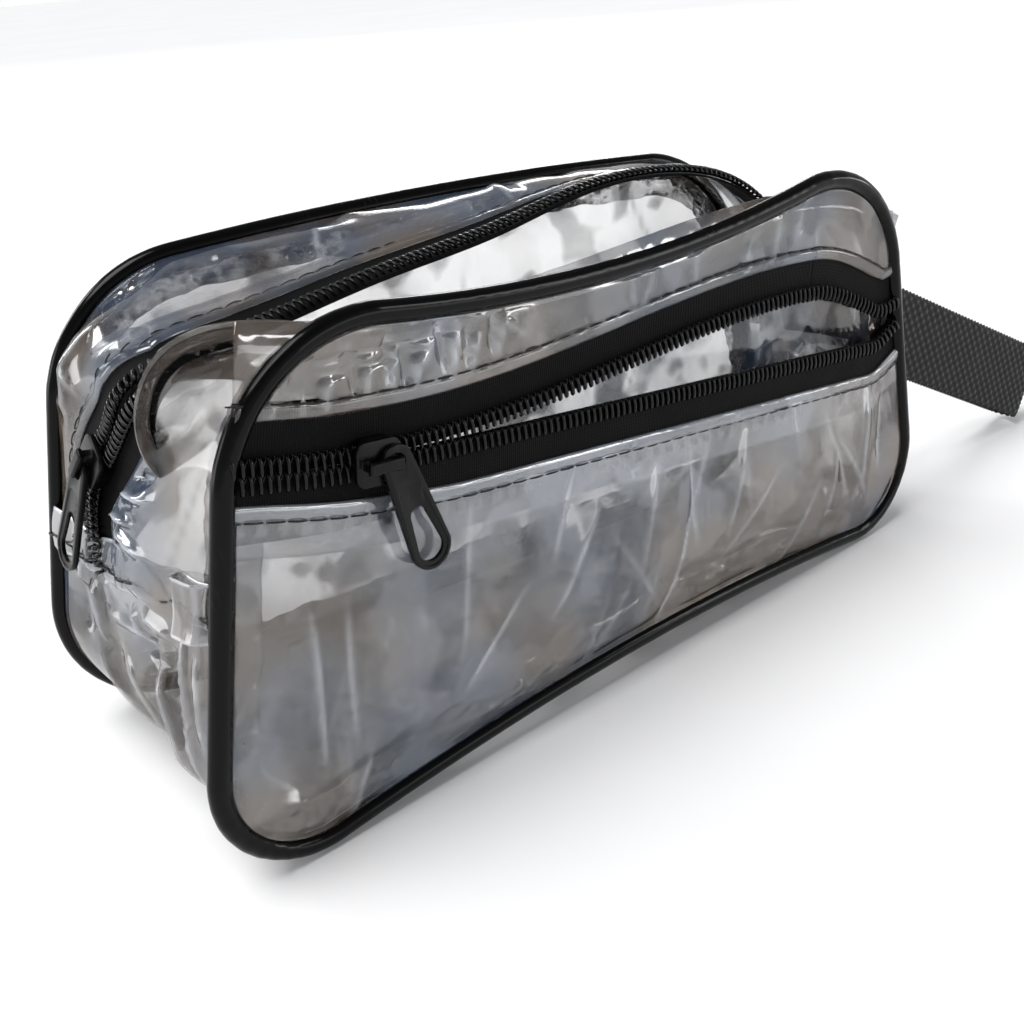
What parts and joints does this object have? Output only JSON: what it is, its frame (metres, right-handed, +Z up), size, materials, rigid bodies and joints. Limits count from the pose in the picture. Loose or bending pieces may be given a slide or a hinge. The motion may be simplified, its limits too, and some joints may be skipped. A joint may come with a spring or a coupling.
{
  "type": "makeup bag",
  "caption": "Clear vinyl makeup bag with black piping, an open zip round the top, a zipped front pocket and a webbing wrist strap.",
  "frame": {"origin": "middle of the flat base on the surface it stands on", "axes": "+X along the bag towards the strap end, -Y is the pocket side, +Z is up"},
  "size_m": [0.326, 0.0902, 0.1135],
  "materials": {
    "clear_vinyl": "gloss",
    "piping_vinyl": "gloss",
    "zip_tape": "matte",
    "zip_coil": "satin",
    "slider_metal": "satin",
    "strap_webbing": "satin"
  },
  "bodies": {
    "root": {"front_piping": "piping_vinyl", "back_piping": "piping_vinyl", "back_panel": "clear_vinyl", "divider_panel": "clear_vinyl", "pocket_lower_panel": "clear_vinyl", "pocket_upper_panel": "clear_vinyl", "lower_gusset": "clear_vinyl", "top_gusset_back": "clear_vinyl", "top_gusset_front": "clear_vinyl", "pocket_zip_tape_lower": "zip_tape", "main_zip_tape_back": "zip_tape", "main_zip_tape_front": "zip_tape", "pocket_zip_coil_lower": "zip_coil", "main_zip_coil_back": "zip_coil", "main_zip_coil_front": "zip_coil"},
    "main_zip_slider": {"main_slider": "slider_metal"},
    "main_zip_pull": {"main_pull_tab": "slider_metal"},
    "pocket_zip_slider": {"pocket_slider": "slider_metal"},
    "pocket_zip_pull": {"pocket_pull_tab": "slider_metal"},
    "pocket_mouth_edge": {"pocket_zip_tape_upper": "zip_tape", "pocket_zip_coil_upper": "zip_coil"},
    "strap": {"wrist_strap": "strap_webbing"}
  },
  "joints": [
    {"name": "main_slider_run", "type": "slide", "parent": "root", "child": "main_zip_slider", "axis": [0.1592, -0.6604, 0.7338], "range_m": [0, 0.016]},
    {"name": "main_pull_swing", "type": "hinge", "parent": "main_zip_slider", "child": "main_zip_pull", "pos_m": [-0.10198, 0.01805, 0.07422], "axis": [-0.9773, 0, 0.2121], "range_deg": [-90, 90]},
    {"name": "pocket_slider_run", "type": "slide", "parent": "root", "child": "pocket_zip_slider", "axis": [0.9929, 0, -0.1191], "range_m": [-0.0135, 0.15]},
    {"name": "pocket_mouth_close", "type": "slide", "parent": "root", "child": "pocket_mouth_edge", "axis": [-0.1191, 0, -0.9929], "range_m": [-0.00135, 0.015], "deforming": ["pocket_zip_tape_upper", "pocket_zip_coil_upper"]},
    {"name": "pocket_pull_swing", "type": "hinge", "parent": "pocket_zip_slider", "child": "pocket_zip_pull", "pos_m": [-0.06712, -0.03375, 0.08006], "axis": [0, -1, 0], "range_deg": [-45, 180]},
    {"name": "strap_swing", "type": "hinge", "parent": "root", "child": "strap", "pos_m": [0.1072, -0.02, 0.06151], "axis": [-0.2121, 0, 0.9773], "range_deg": [-50, 50], "stiffness_Nm_per_rad": 0.003}
  ],
  "couplings": [
    {"joint": "pocket_mouth_close", "follows": "pocket_slider_run", "ratio": 0.1}
  ]
}
